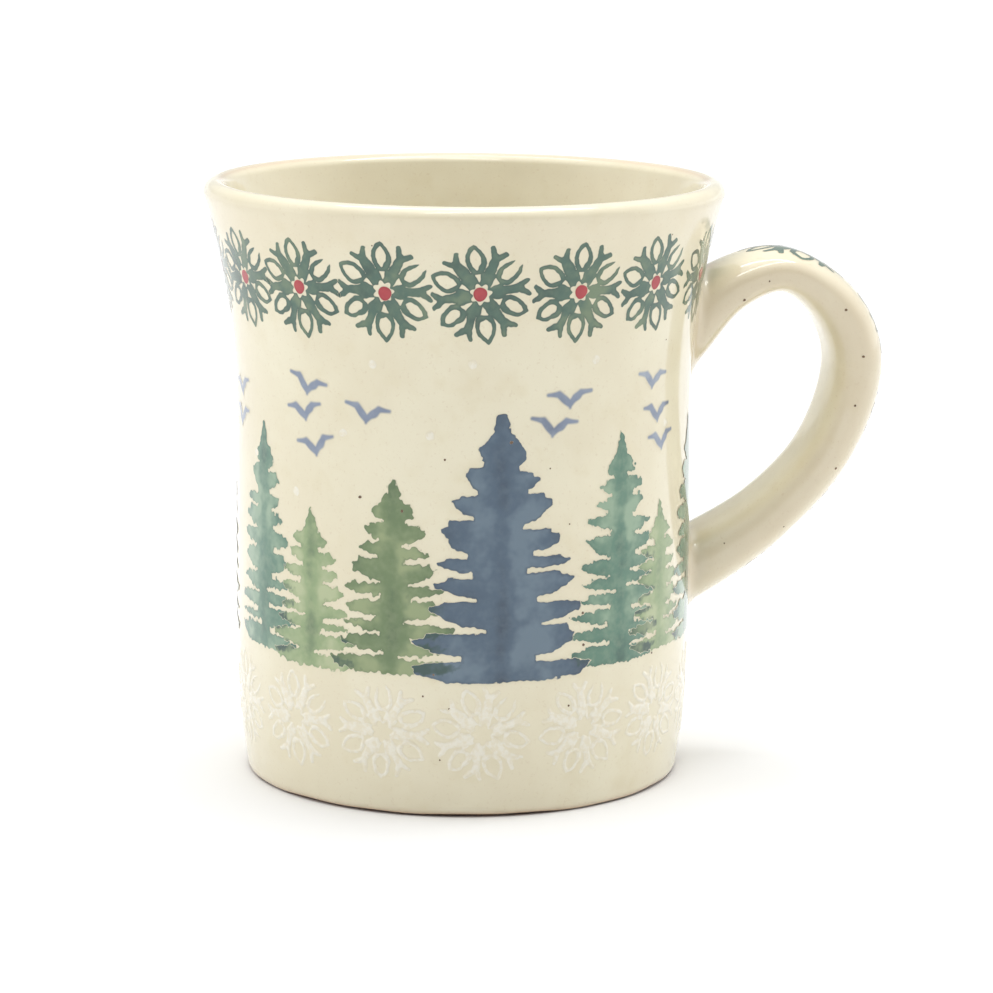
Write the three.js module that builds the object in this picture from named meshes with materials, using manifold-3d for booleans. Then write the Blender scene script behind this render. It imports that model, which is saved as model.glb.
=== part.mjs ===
// A stoneware mug: a straight-sided cup with a flared lip and a bare foot ring, a pulled strap
// handle luted on with slip, and the glaze that covers them. Millimetres, +Z up. The origin is on
// the resting plane, midway between the handle's outermost point and the opposite side of the lip.
import * as THREE from 'three';
import { mergeVertices } from 'three/addons/utils/BufferGeometryUtils.js';
import Module from 'manifold-3d';

const wasm = await Module();
wasm.setup();

// Driving dimensions.
const height = 96;            // resting plane to the top of the glazed lip
const lipRadius = 41.7;       // glazed lip, at its widest
const handleReach = 68.8;     // cup axis to the outermost point of the glazed handle
const waistRadius = 36.1;     // bare clay, in the straight middle of the wall
const wall = 4.4;             // clay wall
const lipWall = 3.0;          // clay wall just under the lip
const floorTop = 7.4;         // clay floor inside the cup
const footRingInner = 28.6;
const footRingOuter = 33.4;
const footEdge = 1.6;         // height of the rounded edge outside the foot ring
const recessDepth = 1.8;      // underside inside the foot ring
const glaze = 0.4;            // fired glaze film
const bond = 0.05;            // clearance between a film and the clay of the same facets
const cutGap = 0.3;           // clearance between pieces that are cut to meet each other
const slip = 0.6;             // luting slip under each end of the handle
const strapWidth = 14.4;
const strapThickness = 8.6;

// Smoothness of the round pieces.
const turns = 48;
const strapSides = 16;
const strapSteps = 26;

const clay = new THREE.MeshStandardMaterial({ color: 0xb08d6c, roughness: 0.85 });
const slipClay = new THREE.MeshStandardMaterial({ color: 0xbb9c78, roughness: 0.8 });
const creamGlaze = new THREE.MeshStandardMaterial({ color: 0xdcd2b6, roughness: 0.12 });

// The clay wall's outside. It eases in to the foot below the belly and flares above the waist.
const bellyHeight = 32;
const bellySwell = 0.15;
const footTaper = 1.5;
const flareStart = 60;
const lipHalf = lipWall / 2;
const lipTop = height - glaze - bond;
const flareEnd = lipTop - lipHalf;
const flare = lipRadius - glaze - bond - waistRadius;

function clayRadius(z) {
  const below = Math.max(bellyHeight - z, 0) / (bellyHeight - footEdge);
  const between = THREE.MathUtils.smoothstep(z, bellyHeight, flareStart);
  const above = Math.max(z - flareStart, 0) / (flareEnd - flareStart);
  return waistRadius + bellySwell * (1 - between) - footTaper * below ** 3 + flare * above ** 2;
}

function clayWall(z) {
  return THREE.MathUtils.lerp(wall, lipWall, THREE.MathUtils.smoothstep(z, flareStart, flareEnd));
}

function samples(from, to, steps, pointAt) {
  return Array.from({ length: steps + 1 }, (_, i) => pointAt(from + (to - from) * i / steps));
}

// A point of a circle about (r, z), and points on its arc between two angles, all in degrees.
function circlePoint(r, z, radius, degrees) {
  const angle = THREE.MathUtils.degToRad(degrees);
  return new THREE.Vector2(r + radius * Math.cos(angle), z + radius * Math.sin(angle));
}

function arc(r, z, radius, from, to, steps) {
  return samples(from, to, steps, (degrees) => circlePoint(r, z, radius, degrees));
}

// The clay from where the glaze begins, on the foot's rounded edge, up the outside, over the lip
// and down to the cup's floor.
const glazeFrom = -35;              // degrees round the foot's edge from its outermost point
const footCentre = clayRadius(footEdge) - footEdge;
const waistEnd = flareStart - 8;    // up to here the wall is straight and needs no points
const underLip = flareEnd - 4;      // the last points of the wall below the lip's curve
const lean = THREE.MathUtils.radToDeg(Math.atan(2 * flare / (flareEnd - flareStart)));
const lipCentre = clayRadius(flareEnd) - lipHalf;
const cornerRadius = 9;
const cornerTop = floorTop + cornerRadius;
const cornerCentre = clayRadius(cornerTop) - wall - cornerRadius;
const outside = [
  ...arc(footCentre, footEdge, footEdge, glazeFrom, 0, 2),
  ...samples(bellyHeight / 4, bellyHeight, 3, (z) => new THREE.Vector2(clayRadius(z), z)),
  ...samples(waistEnd, underLip, 6, (z) => new THREE.Vector2(clayRadius(z), z)),
];
const lip = arc(lipCentre, flareEnd, lipHalf, 0, 180 - lean, 5);
const inside = [
  ...samples(underLip, flareStart, 3, (z) => new THREE.Vector2(clayRadius(z) - clayWall(z), z)),
  new THREE.Vector2(clayRadius(bellyHeight) - wall, bellyHeight),
  ...arc(cornerCentre, cornerTop, cornerRadius, 0, -90, 4),
];
const glazedPath = [...outside, ...lip, ...inside];

// The same path moved off the clay by a distance, at right angles to it.
function offsetPath(path, distance) {
  return path.map((point, i) => {
    const before = path[Math.max(i - 1, 0)];
    const after = path[Math.min(i + 1, path.length - 1)];
    const along = after.clone().sub(before).normalize();
    return new THREE.Vector2(point.x + along.y * distance, point.y - along.x * distance);
  });
}

function lathe(profile) {
  const geometry = new THREE.LatheGeometry(profile, turns);
  geometry.rotateX(Math.PI / 2);
  return geometry;
}

function axisPoint(z) {
  return new THREE.Vector2(0, z);
}

const footProfile = [
  axisPoint(recessDepth),
  new THREE.Vector2(footRingInner - recessDepth, recessDepth),
  new THREE.Vector2(footRingInner, 0),
  new THREE.Vector2(footRingOuter, 0),
  circlePoint(footCentre, footEdge, footEdge, -60),
];
const cupGeometry = lathe([...footProfile, ...glazedPath, axisPoint(floorTop)]);

// A film is the space between two offsets of the path it covers.
const filmIn = offsetPath(glazedPath, bond);
const filmOut = offsetPath(glazedPath, bond + glaze);
const cupFilmGeometry = lathe([
  axisPoint(floorTop + bond),
  ...filmIn.reverse(),
  ...filmOut,
  axisPoint(floorTop + bond + glaze),
]);

const baseFilmMargin = 0.6;         // bare clay between the base glaze and the foot ring
const baseFilmRadius = footRingInner - recessDepth - baseFilmMargin;
const baseFilmGeometry = lathe([
  axisPoint(recessDepth - bond - glaze),
  new THREE.Vector2(baseFilmRadius, recessDepth - bond - glaze),
  new THREE.Vector2(baseFilmRadius + glaze, recessDepth - bond),
  axisPoint(recessDepth - bond),
]);

// The handle's centre line, out of the wall, over the top of the ear and back to the wall.
const centreLine = new THREE.CatmullRomCurve3([
  [31, 66.4], [42.6, 78], [52.2, 80.8], [60.9, 74.9], [64.4, 66],
  [60.4, 52], [50.3, 40.5], [32, 29],
].map(([x, z]) => new THREE.Vector3(x, 0, z)));

// Where along the strap it is wider or thicker than its driving size, and over what spread. The
// roots keep their swelling to the very end; the crown and the shank are pulled thinner.
const upperRoot = { at: 0.05, spread: 0.085, wider: 0.16, thicker: 0.1 };
const crown = { at: 0.27, spread: 0.13, wider: 0, thicker: -0.28 };
const shank = { at: 0.66, spread: 0.17, wider: 0, thicker: -0.13 };
const lowerRoot = { at: 0.93, spread: 0.1, wider: 0.1, thicker: 0.1 };

function swelling(t, place) {
  return Math.exp(-(((t - place.at) / place.spread) ** 2));
}

function strapSection(t) {
  const places = [
    [upperRoot, swelling(Math.max(t, upperRoot.at), upperRoot)],
    [crown, swelling(t, crown)],
    [shank, swelling(t, shank)],
    [lowerRoot, swelling(Math.min(t, lowerRoot.at), lowerRoot)],
  ];
  const total = (key) => places.reduce((sum, [place, share]) => sum + place[key] * share, 1);
  return {
    halfWidth: strapWidth / 2 * total('wider'),
    halfThickness: strapThickness / 2 * total('thicker'),
  };
}

// A capped cylinder bent along the centre line, its section a strap grown by a distance. The
// strap is rounded on the outside of the ear and flatter against the fingers.
const outerSquareness = 2.2;
const innerSquareness = 3;

function strap(grow) {
  const geometry = new THREE.CylinderGeometry(1, 1, 1, strapSides, strapSteps);
  const position = geometry.attributes.position;
  const point = new THREE.Vector3();
  for (let i = 0; i < position.count; i += 1) {
    point.fromBufferAttribute(position, i);
    const t = point.y + 0.5;
    const centre = centreLine.getPointAt(t);
    const tangent = centreLine.getTangentAt(t);
    const { halfWidth, halfThickness } = strapSection(t);
    const reach = Math.hypot(point.x, point.z);
    const power = 2 / (point.z > 0 ? innerSquareness : outerSquareness);
    const [across, through] = [point.x, point.z].map((part) => (
      Math.sign(part) * Math.abs(reach ? part / reach : 0) ** power * reach
    ));
    const inward = through * (halfThickness + grow);
    position.setXYZ(
      i,
      centre.x + tangent.z * inward,
      across * (halfWidth + grow),
      centre.z - tangent.x * inward,
    );
  }
  return geometry;
}

// Between three.js geometry and closed solids for the cuts.
function toSolid(geometry) {
  const bare = geometry.clone();
  bare.deleteAttribute('normal');
  bare.deleteAttribute('uv');
  const merged = mergeVertices(bare);
  const corners = merged.index.array;
  const kept = [];
  for (let i = 0; i < corners.length; i += 3) {
    const [a, b, c] = corners.slice(i, i + 3);
    if (a !== b && b !== c && c !== a) kept.push(a, b, c);
  }
  return new wasm.Manifold(new wasm.Mesh({
    numProp: 3,
    vertProperties: merged.attributes.position.array,
    triVerts: new Uint32Array(kept),
  }));
}

function toGeometry(solid) {
  const { vertProperties, triVerts } = solid.getMesh();
  const geometry = new THREE.BufferGeometry();
  geometry.setAttribute('position', new THREE.BufferAttribute(vertProperties, 3));
  geometry.setIndex(new THREE.BufferAttribute(triVerts, 1));
  geometry.computeVertexNormals();
  return geometry;
}

// The space inside the wall's outer surface moved out by a distance, with no cup hollow.
function filledCup(distance) {
  const side = offsetPath(outside, distance);
  return toSolid(lathe([axisPoint(side[0].y), ...side, axisPoint(side[side.length - 1].y)]));
}

// Everything below a height, or above it, for telling one handle root from the other.
function halfSpace(z, above) {
  const size = 4 * height;
  const box = new THREE.BoxGeometry(size, size, size);
  box.translate(0, 0, z + (above ? size : -size) / 2);
  return toSolid(box);
}

const slipFrom = cutGap;
const slipTo = slipFrom + slip;
const clayStrap = toSolid(strap(0));
const handleSolid = clayStrap.subtract(filledCup(slipTo + cutGap));
const slipLayer = clayStrap.intersect(filledCup(slipTo)).subtract(filledCup(slipFrom));
const sleeve = toSolid(strap(bond + glaze)).subtract(toSolid(strap(bond)));
const handleFilm = sleeve.subtract(filledCup(cutGap));
const rootHole = toSolid(strap(bond + glaze + cutGap)).subtract(filledCup(-wall / 2));
const cupFilm = toSolid(cupFilmGeometry).subtract(rootHole);
const betweenRoots = (bellyHeight + flareStart) / 2;

function piece(name, geometry, material) {
  const mesh = new THREE.Mesh(geometry, material);
  mesh.name = name;
  return mesh;
}

const mug = new THREE.Group();
mug.name = 'stoneware_mug';
mug.add(
  piece('cup_body', cupGeometry, clay),
  piece('handle', toGeometry(handleSolid), clay),
  piece('upper_joint_slip', toGeometry(slipLayer.intersect(halfSpace(betweenRoots, true))), slipClay),
  piece('lower_joint_slip', toGeometry(slipLayer.intersect(halfSpace(betweenRoots, false))), slipClay),
  piece('cup_glaze', toGeometry(cupFilm), creamGlaze),
  piece('handle_glaze', toGeometry(handleFilm), creamGlaze),
  piece('base_glaze', baseFilmGeometry, creamGlaze),
);
mug.position.x = -(handleReach - lipRadius) / 2;

export default mug;
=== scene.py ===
"""A glazed stoneware mug with a stamped winter forest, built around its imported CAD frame.

Shape code works in millimetres in the CAD row frame: +Z up, +X towards the handle, the cup's
axis at AXIS_X. Meshes are scaled to metres as they are made.
"""

import math

import bpy
import numpy as np
from mathutils import Matrix, Vector


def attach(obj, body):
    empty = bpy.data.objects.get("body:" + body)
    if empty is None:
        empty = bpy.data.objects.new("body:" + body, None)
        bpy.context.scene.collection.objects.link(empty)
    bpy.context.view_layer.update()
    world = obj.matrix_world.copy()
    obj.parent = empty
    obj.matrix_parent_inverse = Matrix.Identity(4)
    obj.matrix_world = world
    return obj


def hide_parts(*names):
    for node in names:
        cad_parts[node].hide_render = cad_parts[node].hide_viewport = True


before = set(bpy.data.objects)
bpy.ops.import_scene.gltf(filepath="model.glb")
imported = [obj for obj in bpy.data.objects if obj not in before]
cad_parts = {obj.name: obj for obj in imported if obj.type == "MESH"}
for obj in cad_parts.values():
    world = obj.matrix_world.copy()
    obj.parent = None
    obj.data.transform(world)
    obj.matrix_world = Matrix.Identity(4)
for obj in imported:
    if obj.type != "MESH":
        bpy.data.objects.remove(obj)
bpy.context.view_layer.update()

MM = 0.001
TAU = 2 * math.pi

# The CAD part's driving dimensions, in millimetres.
AXIS_X = -13.55
HEIGHT = 96.0
LIP_RADIUS = 41.7
WAIST_RADIUS = 36.1
WALL = 4.4
LIP_WALL = 3.0
FLOOR_TOP = 7.4
FOOT_INNER = 28.6
FOOT_OUTER = 33.4
FOOT_EDGE = 1.6
RECESS = 1.8
BOND = 0.05
GLAZE = 0.4
FILM = BOND + GLAZE
BELLY_HEIGHT = 32.0
BELLY_SWELL = 0.15
FOOT_TAPER = 1.5
FLARE_START = 60.0
LIP_HALF = LIP_WALL / 2
FLARE_END = HEIGHT - FILM - LIP_HALF
FLARE = LIP_RADIUS - FILM - WAIST_RADIUS
CORNER = 9.0
GLAZE_FROM = -35
STRAP_WIDTH = 14.4
STRAP_THICKNESS = 8.6
OUTER_SQUARENESS = 2.2
INNER_SQUARENESS = 3
CENTRE_LINE = [
    (31, 66.4), (42.6, 78), (52.2, 80.8), (60.9, 74.9), (64.4, 66),
    (60.4, 52), (50.3, 40.5), (32, 29),
]
UPPER_ROOT = {"at": 0.05, "spread": 0.085, "wider": 0.16, "thicker": 0.1}
CROWN = {"at": 0.27, "spread": 0.13, "wider": 0.0, "thicker": -0.28}
SHANK = {"at": 0.66, "spread": 0.17, "wider": 0.0, "thicker": -0.13}
LOWER_ROOT = {"at": 0.93, "spread": 0.1, "wider": 0.1, "thicker": 0.1}


# ---------------------------------------------------------------- surfaces

def smoothstep(x, low, high):
    share = np.clip((x - low) / (high - low), 0, 1)
    return share * share * (3 - 2 * share)


def ripple(u, v, wavelength, seed):
    """Smooth unevenness of about -1 to 1 over a plane, the same every time for a seed."""
    rng = np.random.default_rng(seed)
    total = 0
    for _ in range(6):
        heading, phase = rng.uniform(0, TAU, 2)
        turns = TAU / (wavelength * rng.uniform(0.7, 1.5))
        total = total + np.sin(turns * (u * np.cos(heading) + v * np.sin(heading)) + phase)
    return total / 3


def clay_radius(z):
    below = np.maximum(BELLY_HEIGHT - z, 0) / (BELLY_HEIGHT - FOOT_EDGE)
    between = smoothstep(z, BELLY_HEIGHT, FLARE_START)
    above = np.maximum(z - FLARE_START, 0) / (FLARE_END - FLARE_START)
    return WAIST_RADIUS + BELLY_SWELL * (1 - between) - FOOT_TAPER * below ** 3 + FLARE * above ** 2


def clay_wall(z):
    return WALL + (LIP_WALL - WALL) * smoothstep(z, FLARE_START, FLARE_END)


def turning_marks(angle, z):
    """How far the glazed wall stands off its true radius: the potter's faint rings and a slow wave."""
    rings = np.sin(z * TAU / 7.5 + np.sin(angle)) * np.sin(z * TAU / 31)
    slow = np.sin(2 * angle + 0.7) + np.sin(3 * angle + z / 25)
    return 0.018 * rings + 0.02 * slow


def wall_radius(angle, z):
    return clay_radius(z) + FILM + turning_marks(angle, z)


def about_axis(radius, angle, z):
    """Stacked x, y, z of points at a radius and angle round the cup's axis."""
    return np.stack([AXIS_X + radius * np.cos(angle), radius * np.sin(angle), z + 0 * angle], -1)


def on_wall(heading, height):
    """Places a flat drawing on the outside of the wall, its origin at a heading in degrees."""
    def place(u, v, lift):
        z = height + v
        angle = math.radians(heading) + u / clay_radius(height)
        return about_axis(wall_radius(angle, z) + lift, angle, z)
    return place


def in_bowl(heading, height):
    """Places a flat drawing on the inside of the wall."""
    def place(u, v, lift):
        z = height + v
        radius = clay_radius(z) - clay_wall(z) - FILM - lift
        angle = math.radians(heading) - u / clay_radius(height)
        return about_axis(radius, angle, z)
    return place


class Strap:
    """The handle's strap: a rounded section carried along a centripetal Catmull-Rom curve."""

    SAMPLES = 1600

    def __init__(self, points):
        points = np.array(points, float)
        first = 2 * points[0] - points[1]
        last = 2 * points[-1] - points[-2]
        points = np.vstack([first, points, last])
        line = [points[1]]
        steps = self.SAMPLES // (len(points) - 3)
        for a, b, c, d in zip(points, points[1:], points[2:], points[3:]):
            gaps = [np.linalg.norm(q - p) ** 0.5 for p, q in ((a, b), (b, c), (c, d))]
            start = (b - a) / gaps[0] - (c - a) / (gaps[0] + gaps[1]) + (c - b) / gaps[1]
            end = (c - b) / gaps[1] - (d - b) / (gaps[1] + gaps[2]) + (d - c) / gaps[2]
            start, end = start * gaps[1], end * gaps[1]
            for t in np.arange(1, steps + 1) / steps:
                bend = (-3 * b + 3 * c - 2 * start - end) * t ** 2 + (2 * b - 2 * c + start + end) * t ** 3
                line.append(b + start * t + bend)
        self.line = np.array(line)
        run = np.linalg.norm(np.diff(self.line, axis=0), axis=1)
        self.length = run.sum()
        self.share = np.concatenate([[0], np.cumsum(run)]) / self.length
        slope = np.gradient(self.line, self.share, axis=0)
        self.slope = slope / np.linalg.norm(slope, axis=1)[:, None]

    def centre(self, t):
        return np.stack([np.interp(t, self.share, self.line[:, k]) for k in (0, 1)], -1)

    def tangent(self, t):
        return np.stack([np.interp(t, self.share, self.slope[:, k]) for k in (0, 1)], -1)

    def section(self, t):
        def swelling(place, at):
            return np.exp(-(((at - place["at"]) / place["spread"]) ** 2))
        shares = (
            (UPPER_ROOT, swelling(UPPER_ROOT, np.maximum(t, UPPER_ROOT["at"]))),
            (CROWN, swelling(CROWN, t)),
            (SHANK, swelling(SHANK, t)),
            (LOWER_ROOT, swelling(LOWER_ROOT, np.minimum(t, LOWER_ROOT["at"]))),
        )

        def total(key):
            return 1 + sum(place[key] * share for place, share in shares)
        return STRAP_WIDTH / 2 * total("wider"), STRAP_THICKNESS / 2 * total("thicker")

    def surface(self, t, around, grow):
        """Points on the strap grown by a distance; around is 0 at the middle of the inner face."""
        half_width, half_thickness = self.section(t)
        power = 2 / np.where(np.cos(around) > 0, INNER_SQUARENESS, OUTER_SQUARENESS)
        across = np.sign(np.sin(around)) * np.abs(np.sin(around)) ** power * (half_width + grow)
        through = np.sign(np.cos(around)) * np.abs(np.cos(around)) ** power * (half_thickness + grow)
        centre, tangent = self.centre(t), self.tangent(t)
        return np.stack([
            AXIS_X + centre[..., 0] + tangent[..., 1] * through,
            across + 0 * t,
            centre[..., 1] - tangent[..., 0] * through,
        ], -1)


strap = Strap(CENTRE_LINE)


def off_wall(points):
    """How far points stand off the glazed wall."""
    x, y, z = points[..., 0] - AXIS_X, points[..., 1], points[..., 2]
    return np.hypot(x, y) - wall_radius(np.arctan2(y, x), z)


OUTER_FACE = math.pi
NEAR_EDGE = 1.5 * math.pi


def on_strap(along, side=0.0, face=OUTER_FACE):
    """Places a flat drawing on one face of the strap, its v running up towards the upper root."""
    around = face + np.linspace(-math.pi / 2, math.pi / 2, 181)
    ring = strap.surface(np.full_like(around, along), around, FILM)
    reach = np.concatenate([[0], np.cumsum(np.linalg.norm(np.diff(ring, axis=0), axis=1))])
    reach -= np.interp(face, around, reach)

    def place(u, v, lift):
        t = along - v / strap.length
        return strap.surface(t, np.interp(-(u + side), reach, around), FILM + lift)
    return place


# ---------------------------------------------------------------- meshes

def make(name, points, faces, material, node=None, attributes=None):
    """Adds a smooth mesh object from millimetre points, riding on the mug."""
    mesh = bpy.data.meshes.new(name)
    mesh.from_pydata((np.asarray(points) * MM).tolist(), [], faces)
    mesh.validate()
    mesh.shade_smooth()
    for key, values in (attributes or {}).items():
        mesh.attributes.new(key, "FLOAT", "POINT").data.foreach_set("value", np.float32(values))
    mesh.materials.append(material)
    thing = bpy.data.objects.new(name, mesh)
    bpy.context.scene.collection.objects.link(thing)
    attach(thing, "root")
    if node:
        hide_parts(node)


def grid_faces(rows, columns, first=0, closed=True):
    """Quads of a grid of points whose rows join up round a ring."""
    faces = []
    for row in range(rows - 1):
        for column in range(columns if closed else columns - 1):
            beside = (column + 1) % columns
            low, high = first + row * columns, first + (row + 1) * columns
            faces.append((low + column, low + beside, high + beside, high + column))
    return faces


def turned(name, profile, segments, material, node, shift=None, attributes=None):
    """A closed shape turned about the cup's axis from a profile that starts and ends on it."""
    radius, z = np.array(profile).T
    angle = np.arange(segments) / segments * TAU
    radius, z, angle = np.broadcast_arrays(radius[1:-1, None], z[1:-1, None], angle[None, :])
    if shift:
        out, up = shift(radius, z, angle)
        radius, z = radius + out, z + up
    points = about_axis(radius, angle, z).reshape(-1, 3)
    rows = len(profile) - 2
    faces = grid_faces(rows, segments)
    poles = [about_axis(0, np.array(0.0), profile[end][1]) for end in (0, -1)]
    first, last = len(points), len(points) + 1
    top = (rows - 1) * segments
    for column in range(segments):
        beside = (column + 1) % segments
        faces.append((first, beside, column))
        faces.append((top + column, top + beside, last))
    values = {}
    for key, per_row in (attributes or {}).items():
        values[key] = np.concatenate([np.repeat(per_row[1:-1], segments), [per_row[0], per_row[-1]]])
    make(name, np.vstack([points, poles]), faces, material, node, values)


def offset(path, distance):
    """A path of (radius, height) points moved off the clay, at right angles to it."""
    path = np.array(path)
    along = np.gradient(path, axis=0)
    along /= np.linalg.norm(along, axis=1)[:, None]
    return path + np.stack([along[:, 1], -along[:, 0]], -1) * distance


def arc(r, z, radius, start, end, steps):
    angle = np.radians(np.linspace(start, end, steps + 1))
    return np.stack([r + radius * np.cos(angle), z + radius * np.sin(angle)], -1)


def glazed_path():
    """The clay's surface where glaze covers it: up the outside, over the lip, down to the floor."""
    lean = math.degrees(math.atan(2 * FLARE / (FLARE_END - FLARE_START)))
    edge = arc(clay_radius(FOOT_EDGE) - FOOT_EDGE, FOOT_EDGE, FOOT_EDGE, GLAZE_FROM, 0, 8)
    z = np.linspace(FOOT_EDGE + 0.4, FLARE_END - 1, 110)
    outside = np.vstack([edge, np.stack([clay_radius(z), z], -1)])
    lip = arc(clay_radius(FLARE_END) - LIP_HALF, FLARE_END, LIP_HALF, 0, 180 - lean, 24)
    corner_top = FLOOR_TOP + CORNER
    z = np.linspace(FLARE_END - 1, corner_top + 1, 80)
    inside = np.stack([clay_radius(z) - clay_wall(z), z], -1)
    centre = clay_radius(corner_top) - WALL - CORNER
    corner = arc(centre, corner_top, CORNER, 0, -90, 24)
    floor = np.stack([np.linspace(centre, 0.4, 16)[1:], np.full(15, FLOOR_TOP)], -1)
    return np.vstack([outside, lip, inside, corner, floor])


# ---------------------------------------------------------------- materials

CREAM = (0.775, 0.712, 0.53, 1)


class Shader:
    """A material's node tree, with short calls for the nodes used here."""

    def __init__(self, name):
        self.material = bpy.data.materials.new(name)
        self.material.use_nodes = True
        self.tree = self.material.node_tree
        self.tree.nodes.clear()
        self.place = self.node("ShaderNodeTexCoord").outputs["Object"]

    def node(self, kind, inputs=None, **settings):
        made = self.tree.nodes.new(kind)
        for key, value in settings.items():
            setattr(made, key, value)
        for key, value in (inputs or {}).items():
            if isinstance(value, bpy.types.NodeSocket):
                self.tree.links.new(value, made.inputs[key])
            else:
                made.inputs[key].default_value = value
        return made

    def noise(self, wavelength, detail=2.0, stretch=None):
        """Noise whose features are about a wavelength across, in millimetres."""
        place = self.place
        if stretch:
            place = self.node("ShaderNodeMapping", {"Vector": place, "Scale": stretch}).outputs[0]
        scale = 1 / (wavelength * MM)
        return self.node("ShaderNodeTexNoise", {
            "Vector": place, "Scale": scale, "Detail": detail, "Roughness": 0.55,
        }).outputs["Fac"]

    def map(self, value, low, high, to_low=0.0, to_high=1.0):
        return self.node("ShaderNodeMapRange", {
            "Value": value, "From Min": low, "From Max": high, "To Min": to_low, "To Max": to_high,
        }, interpolation_type="SMOOTHSTEP").outputs[0]

    def math(self, operation, a, b=0.5):
        return self.node("ShaderNodeMath", {0: a, 1: b}, operation=operation).outputs[0]

    def mix(self, share, a, b):
        made = self.node("ShaderNodeMix", {"Factor": share}, data_type="RGBA")
        for socket, value in ((made.inputs[6], a), (made.inputs[7], b)):
            if isinstance(value, bpy.types.NodeSocket):
                self.tree.links.new(value, socket)
            else:
                socket.default_value = value
        return made.outputs[2]

    def attribute(self, name):
        return self.node("ShaderNodeAttribute", attribute_name=name).outputs["Fac"]

    def bump(self, height, distance, strength=1.0, under=None):
        inputs = {"Height": height, "Distance": distance * MM, "Strength": strength}
        if under:
            inputs["Normal"] = under
        return self.node("ShaderNodeBump", inputs).outputs["Normal"]

    def finish(self, colour, roughness, normal, coat=0.0):
        surface = self.node("ShaderNodeBsdfPrincipled", {
            "Base Color": colour, "Roughness": roughness, "IOR": 1.5, "Normal": normal,
            "Coat Weight": coat, "Coat Roughness": 0.03, "Coat Normal": normal,
        })
        self.node("ShaderNodeOutputMaterial", {"Surface": surface.outputs[0]})
        return self.material

    def glassy(self, colour):
        """The transparent top glaze: a mirror gloss with the faint unevenness of a melted surface."""
        pooled = self.bump(self.noise(9, 1), 0.25, 0.35)
        skin = self.bump(self.noise(1.1, 2), 0.012, 0.5, pooled)
        roughness = self.map(self.noise(3, 3), 0.3, 0.7, 0.06, 0.11)
        return self.finish(colour, roughness, skin, coat=0.35)

    def cream(self):
        """The cream slip seen through the glaze, warmer where it lies thin and cloudy in places."""
        cloud = self.mix(self.map(self.noise(16, 3), 0.35, 0.68), CREAM, (0.81, 0.757, 0.575, 1))
        warm = self.mix(self.map(self.noise(5, 4), 0.5, 0.75, 0, 0.5), cloud, (0.745, 0.672, 0.47, 1))
        grain = self.map(self.noise(0.5, 3), 0.58, 0.76, 0, 0.5)
        return self.mix(grain, warm, (0.68, 0.585, 0.41, 1))


def cream_glaze():
    shader = Shader("cream_glaze")
    thin_and_shade = shader.attribute("thin_and_shade")
    # The attribute mixes in a worn brown: real glaze wear at the lip and foot, and painted shade on the
    # handle's sides.
    colour = shader.mix(thin_and_shade, shader.cream(), (0.50, 0.29, 0.17, 1))
    return shader.glassy(colour)


def bare_clay(name, dark, light):
    shader = Shader(name)
    grog = shader.noise(0.45, 4)
    cloud = shader.noise(7, 3)
    colour = shader.mix(shader.map(cloud, 0.3, 0.7), dark, light)
    colour = shader.mix(shader.map(grog, 0.6, 0.75, 0, 0.5), colour, (0.12, 0.06, 0.035, 1))
    normal = shader.bump(grog, 0.08, 0.8)
    return shader.finish(colour, 0.78, normal)


def underglaze(name, dark, body, pale, rim=0.6, feather=0.12, clump=None):
    """Stamped colour under the glaze: washy inside, darker where it gathered at the outline.

    rim is how dark the outline is, feather the width in which it fades into the cream, and clump
    the colour where one stamp lies over another.
    """
    shader = Shader(name)
    depth = shader.attribute("depth")
    wash = shader.math("ADD", shader.noise(6.5, 3), shader.attribute("tone"))
    colour = shader.mix(shader.map(wash, 0.30, 0.52), pale, body)
    colour = shader.mix(shader.map(wash, 0.50, 0.85), colour, dark)
    streak = shader.map(shader.noise(1.6, 4), 0.38, 0.72, 0.0, 0.3)
    colour = shader.mix(streak, colour, pale)
    gathered = shader.map(depth, 0.0, 0.5, rim, 0.0)
    patchy = shader.map(shader.noise(7, 2), 0.35, 0.62, 0.15, 1.0)
    colour = shader.mix(shader.math("MULTIPLY", gathered, patchy), colour, dark)
    if clump:
        uneven = shader.map(shader.noise(3, 2), 0.35, 0.6, 0.35, 0.95)
        over = shader.math("MULTIPLY", shader.attribute("double"), uneven)
        colour = shader.mix(over, colour, clump)
    colour = shader.mix(shader.map(depth, 0.0, feather), CREAM, colour)
    return shader.glassy(colour)


def white_slip():
    """Slip a little whiter than the cream round it, worn thin in places."""
    shader = Shader("white_slip")
    worn = shader.map(shader.noise(0.8, 3), 0.35, 0.62)
    colour = shader.mix(worn, (0.79, 0.732, 0.57, 1), (0.835, 0.80, 0.685, 1))
    colour = shader.mix(shader.map(shader.attribute("depth"), 0.0, 0.25), CREAM, colour)
    return shader.glassy(colour)


GLAZED = cream_glaze()
CLAY = bare_clay("bare_stoneware", (0.20, 0.105, 0.06, 1), (0.34, 0.20, 0.125, 1))
SLIP = bare_clay("joint_slip", (0.30, 0.19, 0.12, 1), (0.42, 0.29, 0.19, 1))
WHITE = white_slip()
GREEN = underglaze(
    "stamp_green", (0.028, 0.065, 0.055, 1), (0.065, 0.135, 0.10, 1), (0.17, 0.235, 0.14, 1))
RED = underglaze(
    "dot_red", (0.25, 0.012, 0.02, 1), (0.40, 0.028, 0.04, 1), (0.46, 0.05, 0.055, 1), feather=0.08)
GULL = underglaze(
    "gull_blue", (0.13, 0.165, 0.235, 1), (0.22, 0.265, 0.36, 1), (0.34, 0.39, 0.46, 1), 0.2, 0.42)
IRON = underglaze(
    "iron_speck", (0.10, 0.05, 0.025, 1), (0.14, 0.08, 0.04, 1), (0.2, 0.12, 0.06, 1), 0.3, 0.01)
CLUMP = (0.025, 0.07, 0.06, 1)
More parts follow.
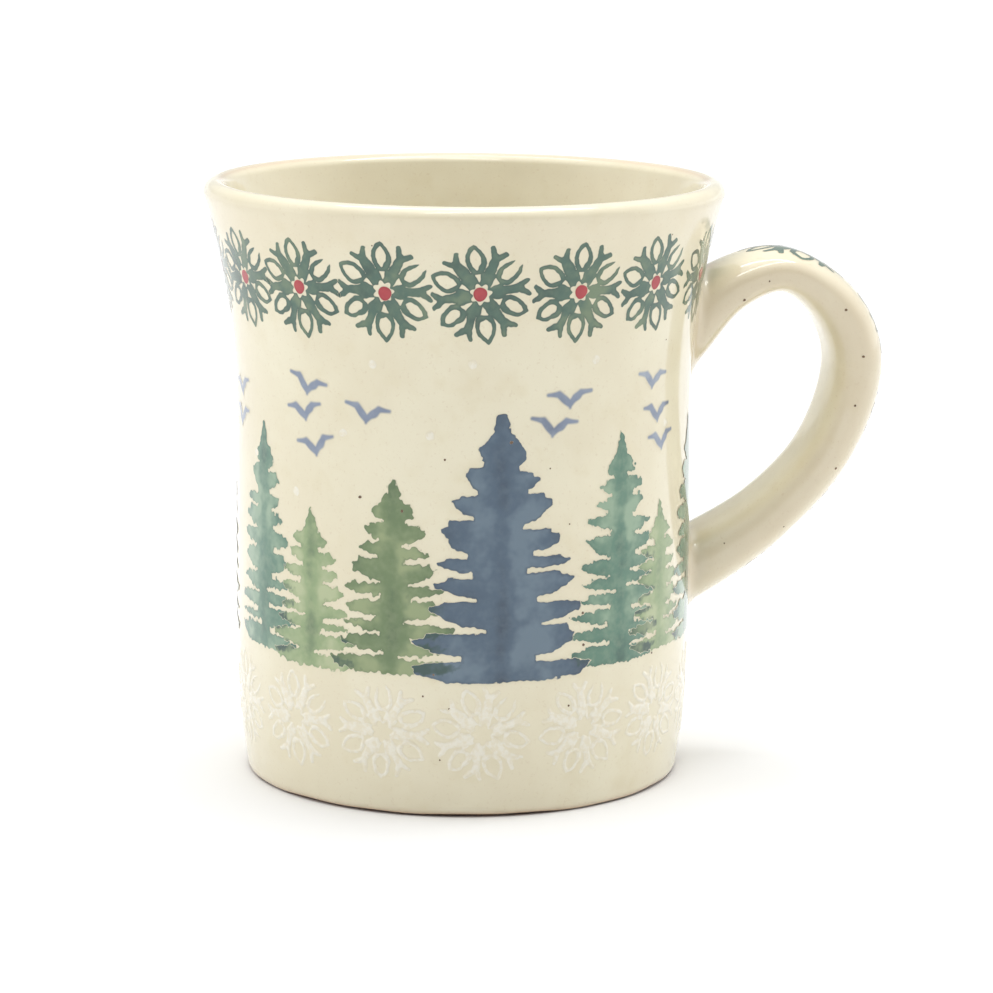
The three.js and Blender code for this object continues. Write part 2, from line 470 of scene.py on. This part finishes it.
FIR_COLOURS = {
    "blue": ((0.03, 0.055, 0.09, 1), (0.06, 0.105, 0.16, 1), (0.125, 0.185, 0.24, 1)),
    "teal": ((0.03, 0.095, 0.072, 1), (0.10, 0.215, 0.152, 1), (0.28, 0.40, 0.28, 1)),
    "olive": ((0.065, 0.115, 0.055, 1), (0.14, 0.21, 0.093, 1), (0.29, 0.355, 0.18, 1)),
    "moss": ((0.10, 0.17, 0.085, 1), (0.265, 0.36, 0.18, 1), (0.44, 0.50, 0.29, 1)),
}
FIR_PAINT = {
    key: underglaze(f"fir_{key}", *colours, rim=0.8 if key == "blue" else 0.5, clump=CLUMP)
    for key, colours in FIR_COLOURS.items()
}


# ---------------------------------------------------------------- clay and glaze

CLAY_SEGMENTS = 160
GLAZE_SEGMENTS = 288


def build_cup():
    """The clay cup, the glaze over its wall and floor, and the glazed disc under it."""
    path = glazed_path()
    foot = np.vstack([
        [(0, RECESS), (14, RECESS), (FOOT_INNER - RECESS, RECESS), (FOOT_INNER - 0.4, 0.4)],
        arc(FOOT_INNER + 0.4, 0.4, 0.4, 200, 270, 4),
        arc(clay_radius(FOOT_EDGE) - FOOT_EDGE, FOOT_EDGE, FOOT_EDGE, -84, GLAZE_FROM - 7, 6),
    ])
    body = np.vstack([foot, path[::3], [(0, FLOOR_TOP)]])
    turned("cup_clay", body, CLAY_SEGMENTS, CLAY, "cup_body")

    lip_row = int(np.argmax(path[:, 1]))
    inner = offset(path, BOND)
    outer = offset(path, FILM)
    rolled = (inner[0] + outer[0]) / 2
    edge = arc(rolled[0], rolled[1], GLAZE / 2, GLAZE_FROM - 165, GLAZE_FROM - 15, 6)
    film = np.vstack([[(0, FLOOR_TOP + BOND)], inner[::-1], edge, outer, [(0, FLOOR_TOP + FILM)]])
    # The cream is worn through on the lip, faintly below it, and at the foot's edge.
    past_lip = np.arange(len(film)) - (1 + len(inner) + len(edge)) - lip_row
    thin_and_shade = np.exp(-((past_lip - 4) / 2.2) ** 2) * 0.4 + np.exp(-((past_lip + 14) / 5.0) ** 2) * 0.06
    low = np.exp(-np.maximum(film[:, 1] - GLAZE, 0) / 0.3) * (film[:, 0] > FOOT_INNER)
    thin_and_shade = np.clip(thin_and_shade + 0.7 * low, 0, 1)

    def shift(radius, z, angle):
        outward = smoothstep(radius, clay_radius(z) - 0.3, clay_radius(z)) * (z < HEIGHT - 1.5)
        ragged = 0.10 * np.sin(3 * angle + 1) + 0.07 * np.sin(7 * angle) + 0.05 * np.sin(17 * angle)
        near_foot = np.exp(-np.maximum(z - 0.6, 0) / 0.9) * outward
        return turning_marks(angle, z) * outward, ragged * near_foot

    turned("cup_glaze_film", film, GLAZE_SEGMENTS, GLAZED, "cup_glaze", shift, {"thin_and_shade": thin_and_shade})

    disc = FOOT_INNER - RECESS - 0.6
    underside = np.vstack([
        [(0, RECESS - FILM), (8, RECESS - FILM), (16, RECESS - FILM)],
        arc(disc, RECESS - BOND - 0.2, 0.2, -90, 90, 8),
        [(16, RECESS - BOND), (0, RECESS - BOND)],
    ])
    even = {"thin_and_shade": np.zeros(len(underside))}
    turned("base_glaze_film", underside, CLAY_SEGMENTS, GLAZED, "base_glaze", attributes=even)


FILLET = 1.7                # radius of the glazed corner between the handle and the wall
ROOT_ROWS = 80              # rows of the strap in which either root's slip is looked for
SLIP_LAYERS = (-0.1, 0.2, 0.6)      # from the slip's underside to its top, off the glazed wall


def strap_between(near, far, grow, rows, sides, fillet):
    """Points of the strap between where it is `near` the wall at one root and `far` at the other."""
    around = np.arange(sides) / sides * TAU
    fine = np.linspace(0, 1, 801)
    clear = off_wall(strap.surface(fine[:, None], around[None, :], grow))
    middle = len(fine) // 2
    lines = []
    for column in range(sides):
        start = np.interp(near, clear[:middle // 2, column], fine[:middle // 2])
        tail = clear[middle:, column]
        end = np.interp(-far, -tail, fine[middle:])
        lines.append(np.linspace(start, end, rows))
    t = np.array(lines).T
    points = strap.surface(t, around[None, :], grow)
    if fillet:
        gap = np.clip(off_wall(points) / fillet, 0, 1)
        push = fillet * (1 - np.sqrt(1 - (1 - gap) ** 2))
        centre = strap.centre(t)
        away = points - np.stack([AXIS_X + centre[..., 0], 0 * t, centre[..., 1]], -1)
        outward = points - np.array([AXIS_X, 0, 0])
        outward[..., 2] = 0
        outward /= np.linalg.norm(outward, axis=-1)[..., None]
        away -= outward * (away * outward).sum(-1)[..., None]
        away /= np.linalg.norm(away, axis=-1)[..., None]
        points = points + away * push[..., None]
    return points


def build_tube(name, points, material, node, thin_and_shade=0.0):
    """A closed tube with flat-filled ends, from rows of ring points.

    The last argument darkens the glaze towards a worn brown at each point of a ring; on the handle it is
    painted shade down the strap's two sides.
    """
    rows, sides = points.shape[:2]
    faces = grid_faces(rows, sides)
    faces = [face[::-1] for face in faces]
    flat = points.reshape(-1, 3)
    ends = [points[0].mean(0), points[-1].mean(0)]
    first, last = len(flat), len(flat) + 1
    top = (rows - 1) * sides
    for column in range(sides):
        beside = (column + 1) % sides
        faces.append((first, column, beside))
        faces.append((top + beside, top + column, last))
    values = {"thin_and_shade": np.concatenate([np.tile(thin_and_shade + np.zeros(sides), rows), [0, 0]])}
    make(name, np.vstack([flat, ends]), faces, material, node, values)


def build_handle():
    """The glaze round the strap, the clay inside it and the slip under its two roots."""
    glaze = strap_between(-0.25, -0.25, FILM, 300, 112, FILLET)
    # Painted shade: the glaze colour is darkened towards brown down the strap's two sides, where they take
    # less light.
    edges = np.sin(np.arange(glaze.shape[1]) / glaze.shape[1] * TAU) ** 2
    build_tube("handle_glaze_film", glaze, GLAZED, "handle_glaze", 0.2 * edges)
    clay = strap_between(0.75, 0.75, 0, 120, 48, 0)
    build_tube("handle_clay", clay, CLAY, "handle")
    whole = strap_between(-0.15, -0.15, 0, 240, 48, 0)
    gap = off_wall(whole)
    rows = np.arange(ROOT_ROWS)
    for name, way in (("upper_joint_slip", 1), ("lower_joint_slip", -1)):
        near = whole[::way]
        clear = gap[::way]
        layers = []
        for depth in SLIP_LAYERS:
            share = [np.interp(depth, clear[:ROOT_ROWS, k], rows) for k in range(near.shape[1])]
            layers.append([[np.interp(s, rows, near[:ROOT_ROWS, k, axis]) for axis in range(3)]
                           for k, s in enumerate(share)])
        build_tube(name + "_layer", np.array(layers)[::way], SLIP, name)


# ---------------------------------------------------------------- drawn shapes
# Each shape is a signed distance over a flat drawing in millimetres, negative inside the colour.

def stroke(u, v, start, end, start_half, end_half):
    """A line that tapers from one half-width to another, with round ends."""
    (ax, ay), (bx, by) = start, end
    dx, dy = bx - ax, by - ay
    share = np.clip(((u - ax) * dx + (v - ay) * dy) / (dx * dx + dy * dy), 0, 1)
    gap = np.hypot(u - ax - share * dx, v - ay - share * dy)
    return gap - start_half - (end_half - start_half) * share


def almond(u, v, near, far, half_width):
    """A pointed oval lying along +u, from near to far."""
    half = (far - near) / 2
    radius = (half ** 2 + half_width ** 2) / (2 * half_width)
    rise = radius - half_width
    along = u - (near + far) / 2
    return np.maximum(np.hypot(along, v - rise), np.hypot(along, v + rise)) - radius


def turn(u, v, degrees):
    c, s = math.cos(math.radians(degrees)), math.sin(math.radians(degrees))
    return u * c + v * s, v * c - u * s


OPEN_PETAL = 5              # the petal whose loop the stamp leaves open at its tip


def snowflake(u, v):
    """The stamp: six looped petals and six forks round a star-shaped clear centre."""
    du = u + 0.14 * ripple(u, v, 2.6, 3)
    dv = v + 0.14 * ripple(u, v, 2.6, 4)
    field = np.hypot(du, dv) - 3.75
    holes = []
    for k in range(6):
        pu, pv = turn(du, dv, 90 + 60 * k)
        field = np.minimum(field, almond(pu, pv, 2.6, 8.0, 1.62))
        holes.append(almond(pu, pv, 4.0, 7.05, 0.78))
        drop = np.maximum(np.abs(pv) - 0.34 * (pu - 1.75), pu - 3.25)
        holes.append(drop + 0.06)
        if k == OPEN_PETAL:
            holes.append(stroke(pu, pv, (6.2, 0.2), (9.0, 0.5), 0.5, 0.75))
        fu, fv = turn(du, dv, 120 + 60 * k)
        field = np.minimum(field, stroke(fu, fv, (3.0, 0), (6.0, 0), 0.95, 0.72))
        for side in (-1, 1):
            field = np.minimum(field, stroke(fu, fv, (5.7, 0), (7.2, 1.15 * side), 0.62, 0.4))
        holes.append(stroke(fu, fv, (7.3, 0), (8.4, 0), 0.22, 0.6))
    for hole in holes:
        field = np.maximum(field, -hole)
    radius, angle = np.hypot(u, v), np.arctan2(v, u)
    star = radius - 1.42 - 0.26 * np.cos(7 * angle)
    return np.maximum(field, -star) + 0.05 * ripple(u, v, 0.9, 6)


def blot(radius, seed):
    def shape(u, v):
        return np.hypot(u, v) - radius + 0.12 * radius * ripple(u, v, 2.2 * radius, seed)
    return shape


def gull(wings):
    """A bird with spread wings; wings gives each one's reach and rise in millimetres."""
    def shape(u, v):
        field = stroke(u, v, (0.0, -1.35), (0.0, -0.6), 0.25, 0.62)
        for side, (reach, rise) in zip((-1, 1), wings):
            shoulder = (side * reach * 0.25, rise * 0.1)
            wrist = (side * reach * 0.52, rise * 0.85)
            tip = (side * reach, rise * 0.95)
            field = np.minimum(field, stroke(u, v, (0, -0.75), shoulder, 0.58, 0.62))
            field = np.minimum(field, stroke(u, v, shoulder, wrist, 0.62, 0.55))
            field = np.minimum(field, stroke(u, v, wrist, tip, 0.55, 0.26))
        return field + 0.08 * ripple(u, v, 1.8, 11) - 0.2
    return shape


def to_outline(u, v, corners):
    """Signed distance from a closed outline of corners."""
    corners = np.asarray(corners)
    nearest = np.full(u.shape, np.inf)
    inside = np.zeros(u.shape, bool)
    for (ax, ay), (bx, by) in zip(corners, np.roll(corners, -1, axis=0)):
        dx, dy = bx - ax, by - ay
        share = np.clip(((u - ax) * dx + (v - ay) * dy) / (dx * dx + dy * dy + 1e-9), 0, 1)
        nearest = np.minimum(nearest, np.hypot(u - ax - share * dx, v - ay - share * dy))
        if ay != by:
            crosses = ((ay > v) != (by > v)) & (u < (v - ay) * dx / dy + ax)
            inside ^= crosses
    return np.where(inside, -nearest, nearest)


class Fir:
    """A fir drawn as a solid cone of branches, cut from both sides by slits that widen outwards.

    reach is the half-width at the ground, waist how quickly the cone widens, depth how far the
    slits run in towards the trunk, slit how wide they are, ragged how rough the edge of the stamp
    is, spire the bare tip above the first branches and finger the tip's half-width.
    """

    def __init__(self, height, reach, seed, tiers, waist, depth, ragged, slit, spire=3.4, finger=0.3):
        self.height, self.reach, self.seed, self.tiers = height, reach, seed, tiers
        self.waist, self.depth, self.ragged, self.spire = waist, depth, ragged, spire
        self.finger, self.slit = finger, slit
        rng = np.random.default_rng(seed)
        left, right = self.side(-1, rng), self.side(1, rng)
        self.corners = [(0, height), *right, *left[::-1]]

    def side(self, way, rng):
        """The outline down one side, from the spire to the ground."""
        top = self.height - self.spire
        levels = (np.arange(1, self.tiers + 1) / self.tiers) ** 0.95
        levels = top * (1 - levels) + rng.uniform(-0.22, 0.22, self.tiers) * top / self.tiers
        levels[-1] = 0
        line = [(self.finger * 0.8, self.height - 0.3)]
        above, inner = top, self.finger * 1.4
        for tier, level in enumerate(levels):
            gap = above - level
            fall = 1 - (above - 0.35 * gap) / self.height
            tip = max(self.spread(fall) * rng.uniform(0.86, 1.06), inner + 0.8)
            drop = gap * (0.5 if tier == 0 else rng.uniform(0.16, 0.36))
            blunt = min(gap * rng.uniform(0.1, 0.3), 1.2)
            shoulder = inner + (tip - inner) * rng.uniform(0.6, 0.8)
            if tier == 0:
                line.append((tip * 0.42, above))
            else:
                line.append((shoulder, above - drop * rng.uniform(-0.1, 0.3)))
            line.append((shoulder + (tip - shoulder) * 0.25, above - drop * 0.7))
            line.append((tip, above - drop))
            line.append((tip * 0.97, above - drop - blunt))
            if tier == self.tiers - 1:
                line.append((tip * rng.uniform(0.72, 0.85), gap * 0.16))
                line.append((tip * rng.uniform(0.4, 0.6), gap * rng.uniform(-0.06, 0.06)))
                break
            width = rng.uniform(*self.slit)
            depth = rng.uniform(*self.depth) * (0.6 + 0.4 * fall)
            inner = max(tip * (1 - depth), self.finger * 1.3)
            middle = inner + (tip - inner) * 0.45
            line.append((middle, level + width / 2 + (gap - drop - blunt - width) * 0.22))
            line.append((inner + width * 0.3, level + width / 2))
            line.append((inner + width * 0.3, level - width / 2))
            above = level - width / 2
        return [(way * reach, height) for reach, height in line]

    def spread(self, fall):
        """The cone's half-width at a share of the way down from the apex to the ground."""
        return self.reach * fall ** self.waist * (1 - np.exp(-fall / 0.08))

    def shape(self, u, v):
        du = u + self.ragged * (ripple(u, v, 2.2, self.seed) + 0.6 * ripple(u, v, 0.9, self.seed + 1))
        dv = v + self.ragged * (ripple(u, v, 2.0, self.seed + 2) + 0.7 * ripple(u, v, 0.8, self.seed + 3))
        return to_outline(du, dv, self.corners) - 0.13

    def tone(self, u, v):
        """Where the colour lies thick: down the trunk, and out at the tips of the lower branches."""
        fall = np.clip(1 - v / self.height, 0.06, 1)
        out = np.abs(u) / self.spread(fall)
        trunk = np.exp(-((u / 1.3) ** 2))
        return 0.18 * trunk + 0.26 * smoothstep(out, 0.5, 1.0) * fall - 0.08


def outlined(shape, half_u, low_v, high_v, cell):
    """Flat points, faces and depths covering the inside of a shape, cut along its outline."""
    u, v = np.meshgrid(np.arange(-half_u, half_u + cell, cell), np.arange(low_v, high_v + cell, cell))
    field = shape(u, v)
    field[[0, -1], :] = field[:, [0, -1]] = 1.0
    inside = field < 0
    number = np.full(field.shape, -1)
    number[inside] = np.arange(inside.sum())
    points = [np.stack([u[inside], v[inside], -field[inside]], -1)]
    total = int(inside.sum())
    crossings = []
    for axis, (here, there) in enumerate((
        ((slice(None), slice(None, -1)), (slice(None), slice(1, None))),
        ((slice(None, -1), slice(None)), (slice(1, None), slice(None))),
    )):
        mask = inside[here] != inside[there]
        share = field[here][mask] / (field[here][mask] - field[there][mask])
        step_u, step_v = (share * cell, 0) if axis == 0 else (0, share * cell)
        points.append(np.stack([u[here][mask] + step_u, v[here][mask] + step_v, 0 * share], -1))
        ids = np.full(mask.shape, -1)
        ids[mask] = total + np.arange(mask.sum())
        total += int(mask.sum())
        crossings.append(ids)
    level, upright = crossings
    corners = [number[:-1, :-1], number[:-1, 1:], number[1:, 1:], number[1:, :-1]]
    edges = [level[:-1], upright[:, 1:], level[1:], upright[:, :-1]]
    inner = [corner >= 0 for corner in corners]
    case = sum(mask.astype(int) << k for k, mask in enumerate(inner))
    faces = []
    for code in range(1, 16):
        cells = case == code
        ring = []
        for k in range(4):
            has, then = code >> k & 1, code >> (k + 1) % 4 & 1
            if has:
                ring.append(corners[k][cells])
            if has != then:
                ring.append(edges[k][cells])
        faces += np.stack(ring, -1).tolist()
    return np.vstack(points), faces


def paint(name, drawing, place, material, lift, relief=0.0, turned_by=0.0, tone=0.0, double=0.0):
    """Lays an outlined drawing on a surface, raised inside its outline if it is thick slip.

    tone shifts the wash of colour, and double says where it lies over an earlier stamp.
    """
    flat, faces = drawing
    u, v = turn(flat[:, 0], flat[:, 1], -turned_by)
    depth = flat[:, 2]
    height = lift + relief * smoothstep(depth, 0, 0.45)
    attributes = {"depth": depth, "tone": tone + 0 * depth, "double": double + 0 * depth}
    make(name, place(u, v, height), faces, material, attributes=attributes)


# ---------------------------------------------------------------- decoration
# Headings are in degrees round the cup from the handle.
# The places in GROVE, birds, flakes and seen were measured on the photograph, by a scratch program
# that sent picked points back through the fitted camera. The snowflake bands were set to agree.

FRONT = -98.5               # heading of the middle of the decorated front
RIM_BAND = 16               # snowflakes round the rim
FOOT_BAND = 14              # snowflakes round the foot
FLAKE_ROOM = 8.4            # half-width that a snowflake is drawn in
UNDER_GLAZE = 0.03          # how far paint stands off the film that it shows through
NUDGE_RADIUS = 40           # rough radius that turns a red dot's nudge into degrees


def paint_snowflakes():
    rng = np.random.default_rng(21)
    flake = outlined(snowflake, FLAKE_ROOM, -FLAKE_ROOM, FLAKE_ROOM, 0.14)
    dot = outlined(blot(1.12, 5), 1.5, -1.5, 1.5, 0.12)
    for k in range(RIM_BAND):
        step = 360 / RIM_BAND * k
        uneven = 4.5 * (1 - math.cos(math.radians(step))) + rng.uniform(-0.5, 0.5)
        heading = FRONT + 3.5 + step + uneven
        height = 82.6 + rng.uniform(-0.35, 0.35)
        spin = rng.uniform(-2, 14)
        place = on_wall(heading, height)
        paint(f"rim_snowflake_{k:02d}", flake, place, GREEN, UNDER_GLAZE, turned_by=spin)
        nudge = rng.uniform(-0.25, 0.25, 2)
        aside = on_wall(heading + math.degrees(nudge[0] / NUDGE_RADIUS), height + nudge[1])
        paint(f"red_dot_{k:02d}", dot, aside, RED, 0.05)
    for k in range(FOOT_BAND):
        heading = FRONT + 5.4 + 360 / FOOT_BAND * k + rng.uniform(-0.7, 0.7)
        place = on_wall(heading, 13.5 + rng.uniform(-0.4, 0.4))
        paint(f"foot_snowflake_{k:02d}", flake, place, WHITE, 0.0, 0.12, turned_by=rng.uniform(0, 60))
    for k, along in enumerate((0.29, 0.43, 0.56, 0.70, 0.84)):
        place = on_strap(along, 2.4 + rng.uniform(-0.5, 0.5))
        paint(f"handle_snowflake_{k}", flake, place, GREEN, UNDER_GLAZE, turned_by=rng.uniform(0, 60))


GREEN_FIR = {"waist": 0.5, "depth": (0.74, 1.06), "ragged": 0.24, "slit": (0.5, 1.0)}
BLUE_FIR = {"waist": 0.52, "depth": (0.5, 0.92), "ragged": 0.15, "finger": 0.8, "slit": (0.7, 1.1)}
# Heading from the middle of the front, foot and apex heights, half-width, tiers, colour, seed, manner.
GROVE = [
    (-58.8, 23.6, 59.6, 9.6, 10, "teal", 31, GREEN_FIR),
    (-40.1, 22.6, 47.7, 9.2, 8, "moss", 62, GREEN_FIR),
    (-17.1, 23.1, 53.8, 10.6, 9, "olive", 33, GREEN_FIR),
    (42.2, 23.3, 59.7, 10.6, 11, "teal", 35, GREEN_FIR),
    (57.8, 23.7, 47.5, 8.6, 8, "moss", 36, GREEN_FIR),
    (9.5, 21.9, 64.0, 14.6, 9, "blue", 40, BLUE_FIR),
]
# How many degrees round the cup the group is stamped again, and which of its firs.
GROVES = ((0, GROVE), (171, GROVE), (-76, GROVE[1:3]), (138, GROVE[:1]))
FIR_ROOM = 19               # half-width that a fir is drawn in


def paint_forest():
    """The same group of firs stamped twice round the cup, and some of its firs between the two."""
    stood = []
    for group, (shift, firs) in enumerate(GROVES):
        for heading, foot, apex, reach, tiers, colour, seed, manner in firs:
            fir = Fir(apex - foot, reach, seed + 100 * group, tiers, **manner)
            heading += FRONT + shift
            drawing = outlined(fir.shape, FIR_ROOM, -1.6, fir.height + 1, 0.25)
            u, v, _ = drawing[0].T
            double = np.zeros(len(u))
            for other, elsewhere, its_foot in stood:
                apart = math.radians((heading - elsewhere + 180) % 360 - 180) * WAIST_RADIUS
                over = -other.shape(u + apart, v + foot - its_foot)
                double = np.maximum(double, smoothstep(over, 0, 0.4))
            number = len(stood)
            paint(f"fir_{number:02d}", drawing, on_wall(heading, foot), FIR_PAINT[colour],
                  UNDER_GLAZE + 0.004 * number, tone=fir.tone(u, v), double=double)
            stood.append((fir, heading, foot))


def paint_sky():
    rng = np.random.default_rng(5)
    birds = [
        (-40.7, 66.9), (-42, 62.8), (-38.5, 57.5), (-23.7, 63.4), (26.4, 65.8), (22.3, 61.5),
        (53.3, 67.2), (55.9, 61.7), (58.1, 57.1), (-72.7, 64.1), (-73.4, 59.2),
    ]
    birds += [(heading + 150, height + 0.5) for heading, height in birds[:5]]
    for number, (heading, height) in enumerate(birds):
        reaches = [(rng.uniform(3.2, 3.8), rng.uniform(0.9, 1.5)) for _ in range(2)]
        drawing = outlined(gull(reaches), 4.8, -2.2, 3.6, 0.14)
        paint(f"gull_{number:02d}", drawing, on_wall(FRONT + heading, height), GULL, UNDER_GLAZE,
              turned_by=rng.uniform(-10, 10))
    flakes = [(2.2, 71.7), (-22.1, 71.3), (-8, 60.5), (-30.4, 60.1), (-45.2, 49.9), (33, 71.7)]
    flakes += [(rng.uniform(60, 300), rng.uniform(50, 73)) for _ in range(14)]
    for number, (heading, height) in enumerate(flakes):
        drawing = outlined(blot(0.8, number), 1.2, -1.2, 1.2, 0.1)
        paint(f"snow_dot_{number:02d}", drawing, on_wall(FRONT + heading, height), WHITE, 0.0, 0.06)


def paint_specks():
    """Iron specks that burned through the glaze, on the wall, in the bowl and on the handle."""
    rng = np.random.default_rng(77)
    seen = [(-9.5, 19.7), (-3.1, 17.8), (-5.4, 9.5), (-25.6, 50.4), (-14.8, 48.7), (-4.4, 56.9)]
    places = [on_wall(FRONT + heading, height) for heading, height in seen]
    places += [on_wall(rng.uniform(0, 360), rng.uniform(10, 92)) for _ in range(28)]
    places += [in_bowl(rng.uniform(0, 360), rng.uniform(30, 92)) for _ in range(10)]
    places += [on_strap(along + rng.uniform(-0.04, 0.04), rng.uniform(-2.2, 2.2), NEAR_EDGE)
               for along in np.linspace(0.15, 0.85, 8)]
    for number, place in enumerate(places):
        radius = rng.uniform(0.12, 0.26)
        drawing = outlined(blot(radius, number), radius * 1.6, -radius * 1.6, radius * 1.6, 0.05)
        paint(f"iron_speck_{number:02d}", drawing, place, IRON, 0.05)


# ---------------------------------------------------------------- studio

def area_light(name, place, aim, size, power):
    light = bpy.data.lights.new(name, "AREA")
    light.shape = "RECTANGLE"
    light.size, light.size_y = size
    light.energy = power
    thing = bpy.data.objects.new(name, light)
    thing.location = place
    thing.rotation_euler = (Vector(aim) - Vector(place)).to_track_quat("-Z", "Y").to_euler()
    bpy.context.scene.collection.objects.link(thing)


TENT = {"everywhere": 0.09, "back": 0.52, "sides": 0.95, "above": 2.2, "horizon": 0.38}


def build_studio():
    scene = bpy.context.scene
    half = 5.0
    corners = [(-half, -half, 0), (half, -half, 0), (half, half, 0), (-half, half, 0)]
    mesh = bpy.data.meshes.new("floor")
    mesh.from_pydata(corners, [], [(0, 1, 2, 3)])
    shader = Shader("pale_floor")
    mesh.materials.append(shader.finish((0.88, 0.88, 0.88, 1), 0.7, shader.bump(shader.noise(4, 2), 0.01)))
    floor = bpy.data.objects.new("floor", mesh)
    scene.collection.objects.link(floor)

    build_tent()
    aim = (AXIS_X * MM, 0, 0.05)
    for name, y in (("front_strip", -0.10), ("back_strip", 0.14)):
        area_light(name, (0.05, y, 0.62), aim, (0.55, 0.05), 0.65)


def build_tent():
    """The tent's glow by direction: dim at the front, brighter at the back, sides, top and horizon."""
    world = bpy.data.worlds.new("light_tent")
    world.use_nodes = True
    tree = world.node_tree

    def node(kind, inputs, **settings):
        made = tree.nodes.new(kind)
        for key, value in settings.items():
            setattr(made, key, value)
        for key, value in inputs.items():
            if isinstance(value, bpy.types.NodeSocket):
                tree.links.new(value, made.inputs[key])
            else:
                made.inputs[key].default_value = value
        return made.outputs[0]

    direction = tree.nodes.new("ShaderNodeTexCoord").outputs["Generated"]
    axes = tree.nodes.new("ShaderNodeSeparateXYZ")
    tree.links.new(direction, axes.inputs[0])
    x, y, z = axes.outputs
    back = node("ShaderNodeMapRange", {"Value": y, "From Min": -0.85, "From Max": 0.45},
                interpolation_type="SMOOTHSTEP")
    side = node("ShaderNodeMath", {0: x, 1: 4.0}, operation="POWER")
    above = node("ShaderNodeMath", {0: z, 1: 4.0}, operation="POWER")
    horizon = node("ShaderNodeMapRange", {"Value": z, "From Min": 0.15, "From Max": 0.08},
                   interpolation_type="SMOOTHSTEP")
    glow = TENT["everywhere"]
    shares = {"back": back, "sides": side, "above": above, "horizon": horizon}
    for part, share in shares.items():
        strength = TENT[part]
        glow = node("ShaderNodeMath", {0: share, 1: strength, 2: glow}, operation="MULTIPLY_ADD")
    background = tree.nodes["Background"].inputs
    background["Color"].default_value = (1, 1, 1, 1)
    tree.links.new(glow, background["Strength"])
    bpy.context.scene.world = world


CAMERA_SWING = math.radians(-8.5)


def build_camera():
    """A long lens a little above the mug, swung round so that the handle turns slightly away."""
    distance, height = 0.6122, 0.1624
    pitch, yaw, roll = (math.radians(a) for a in (10.927, 0.509, 0.376))
    forward = Vector((math.sin(yaw) * math.cos(pitch), math.cos(yaw) * math.cos(pitch), -math.sin(pitch)))
    right = Vector((math.cos(yaw), -math.sin(yaw), 0))
    up = right.cross(forward)
    right, up = (math.cos(roll) * right + math.sin(roll) * up, math.cos(roll) * up - math.sin(roll) * right)
    swing = Matrix.Rotation(CAMERA_SWING, 3, "Z")
    axes = Matrix((swing @ right, swing @ up, -(swing @ forward))).transposed()
    place = Vector((AXIS_X * MM, 0, 0)) + swing @ Vector((0, -distance, height))
    lens = bpy.data.cameras.new("camera")
    lens.lens = 139.16
    lens.sensor_width = 36
    lens.clip_start = 0.01
    camera = bpy.data.objects.new("camera", lens)
    camera.matrix_world = Matrix.LocRotScale(place, axes.to_quaternion(), None)
    bpy.context.scene.collection.objects.link(camera)
    bpy.context.scene.camera = camera


build_cup()
build_handle()
paint_snowflakes()
paint_forest()
paint_sky()
paint_specks()
build_studio()
build_camera()
bpy.context.scene.view_settings.view_transform = "Standard"
